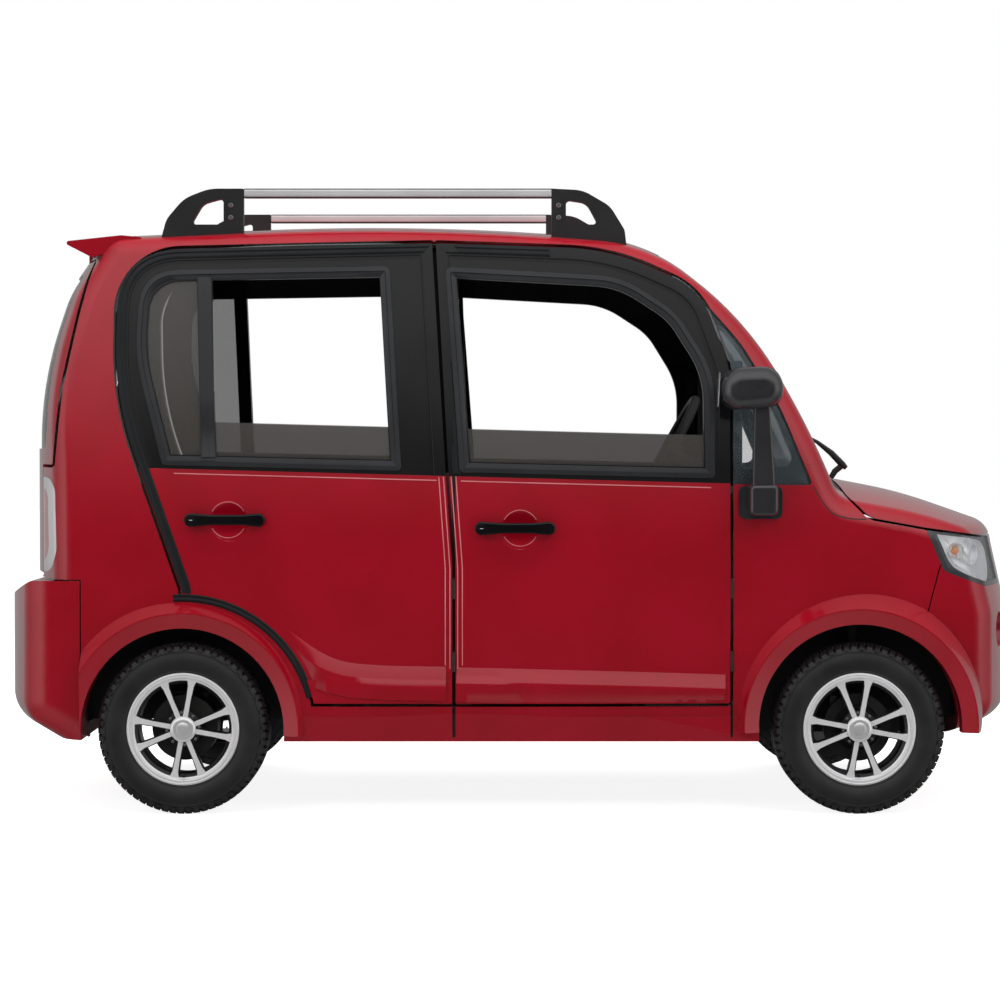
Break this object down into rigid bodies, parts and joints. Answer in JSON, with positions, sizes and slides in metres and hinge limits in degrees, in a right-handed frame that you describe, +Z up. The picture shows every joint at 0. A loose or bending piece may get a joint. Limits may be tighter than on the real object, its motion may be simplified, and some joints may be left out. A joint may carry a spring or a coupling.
{
  "type": "electric mobility car",
  "caption": "Compact upright electric mobility car with side doors, glazed cabin, roof rails and alloy wheels.",
  "frame": {"origin": "on the ground under the middle of the bounding box", "axes": "+X forwards, +Y to the left, +Z up"},
  "size_m": [2.72, 1.47, 1.628],
  "materials": {
    "alloy": "polished",
    "black_gloss": "gloss",
    "black_plastic": "satin",
    "case_grey": "satin",
    "dark_steel": "satin",
    "glass_clear": "gloss",
    "lamp_clear": "gloss",
    "lamp_red": "gloss",
    "red_paint": "gloss",
    "seat_cloth": "woven",
    "tyre_rubber": "matte"
  },
  "bodies": {
    "body": {"battery_pack": "case_grey", "body_side_left": "red_paint", "body_side_right": "red_paint", "cowl": "black_plastic", "dashboard": "black_plastic", "drive_motor": "case_grey", "fender_left": "red_paint", "fender_right": "red_paint", "floor_pan": "black_plastic", "fog_lamps": "lamp_clear", "front_bumper": "red_paint", "front_seats": "seat_cloth", "front_suspension": "dark_steel", "headlamp_housings": "black_plastic", "headlamps": "lamp_clear", "mirrors": "black_gloss", "quarter_glass": "glass_clear", "quarter_trim": "black_gloss", "rear_axle": "dark_steel", "rear_bumper": "red_paint", "rear_seat": "seat_cloth", "roof_panel": "red_paint", "roof_rails": "alloy", "tail_lamp_bezels": "alloy", "tail_lamps": "lamp_red", "wheel_liners": "black_plastic", "windscreen": "glass_clear", "wiper": "black_plastic"},
    "door_front_right": {"door_front_frame_right": "black_gloss", "door_front_glass_right": "glass_clear", "door_front_handle_right": "black_gloss", "door_front_panel_right": "red_paint"},
    "door_front_left": {"door_front_frame_left": "black_gloss", "door_front_glass_left": "glass_clear", "door_front_handle_left": "black_gloss", "door_front_panel_left": "red_paint"},
    "door_rear_right": {"door_rear_frame_right": "black_gloss", "door_rear_glass_right": "glass_clear", "door_rear_handle_right": "black_gloss", "door_rear_panel_right": "red_paint"},
    "door_rear_left": {"door_rear_frame_left": "black_gloss", "door_rear_glass_left": "glass_clear", "door_rear_handle_left": "black_gloss", "door_rear_panel_left": "red_paint"},
    "hood": {"hood": "red_paint"},
    "tailgate": {"tailgate": "red_paint", "tailgate_glass": "glass_clear"},
    "steering_wheel": {"steering_wheel": "black_plastic"},
    "knuckle_right": {"knuckle_right": "dark_steel"},
    "wheel_front_right": {"tyre_front_right": "tyre_rubber", "wheel_front_right": "alloy"},
    "wheel_rear_right": {"tyre_rear_right": "tyre_rubber", "wheel_rear_right": "alloy"},
    "knuckle_left": {"knuckle_left": "dark_steel"},
    "wheel_front_left": {"tyre_front_left": "tyre_rubber", "wheel_front_left": "alloy"},
    "wheel_rear_left": {"tyre_rear_left": "tyre_rubber", "wheel_rear_left": "alloy"}
  },
  "joints": [
    {"name": "door_front_right_hinge", "type": "hinge", "parent": "body", "child": "door_front_right", "pos_m": [0.572, -0.618, 0.56], "axis": [0, 0, 1], "range_deg": [0, 70]},
    {"name": "door_rear_right_hinge", "type": "hinge", "parent": "body", "child": "door_rear_right", "pos_m": [-0.146, -0.634, 0.56], "axis": [0, 0, 1], "range_deg": [0, 70]},
    {"name": "door_front_left_hinge", "type": "hinge", "parent": "body", "child": "door_front_left", "pos_m": [0.572, 0.618, 0.56], "axis": [0, 0, 1], "range_deg": [-70, 0]},
    {"name": "door_rear_left_hinge", "type": "hinge", "parent": "body", "child": "door_rear_left", "pos_m": [-0.146, 0.634, 0.56], "axis": [0, 0, 1], "range_deg": [-70, 0]},
    {"name": "hood_hinge", "type": "hinge", "parent": "body", "child": "hood", "pos_m": [0.876, 0, 0.8665], "axis": [0, 1, 0], "range_deg": [-50, 0]},
    {"name": "tailgate_hinge", "type": "hinge", "parent": "body", "child": "tailgate", "pos_m": [-1.165, 0, 1.444], "axis": [0, 1, 0], "range_deg": [0, 75]},
    {"name": "steering_wheel_turn", "type": "hinge", "parent": "body", "child": "steering_wheel", "pos_m": [0.452, 0.29, 0.925], "axis": [-0.8829, 0, 0.4695], "range_deg": [-450, 450]},
    {"name": "steer_right", "type": "hinge", "parent": "body", "child": "knuckle_right", "pos_m": [0.903, -0.485, 0.2215], "axis": [0, 0, 1], "range_deg": [-30, 30]},
    {"name": "wheel_front_right_spin", "type": "hinge", "parent": "knuckle_right", "child": "wheel_front_right", "pos_m": [0.903, -0.545, 0.2215], "axis": [0, 1, 0], "continuous": true},
    {"name": "wheel_rear_right_spin", "type": "hinge", "parent": "body", "child": "wheel_rear_right", "pos_m": [-0.847, -0.545, 0.2215], "axis": [0, 1, 0], "continuous": true},
    {"name": "steer_left", "type": "hinge", "parent": "body", "child": "knuckle_left", "pos_m": [0.903, 0.485, 0.2215], "axis": [0, 0, 1], "range_deg": [-30, 30]},
    {"name": "wheel_front_left_spin", "type": "hinge", "parent": "knuckle_left", "child": "wheel_front_left", "pos_m": [0.903, 0.545, 0.2215], "axis": [0, 1, 0], "continuous": true},
    {"name": "wheel_rear_left_spin", "type": "hinge", "parent": "body", "child": "wheel_rear_left", "pos_m": [-0.847, 0.545, 0.2215], "axis": [0, 1, 0], "continuous": true}
  ],
  "couplings": [
    {"joint": "steer_right", "follows": "steering_wheel_turn", "ratio": 0.0666},
    {"joint": "steer_left", "follows": "steering_wheel_turn", "ratio": 0.0666}
  ]
}
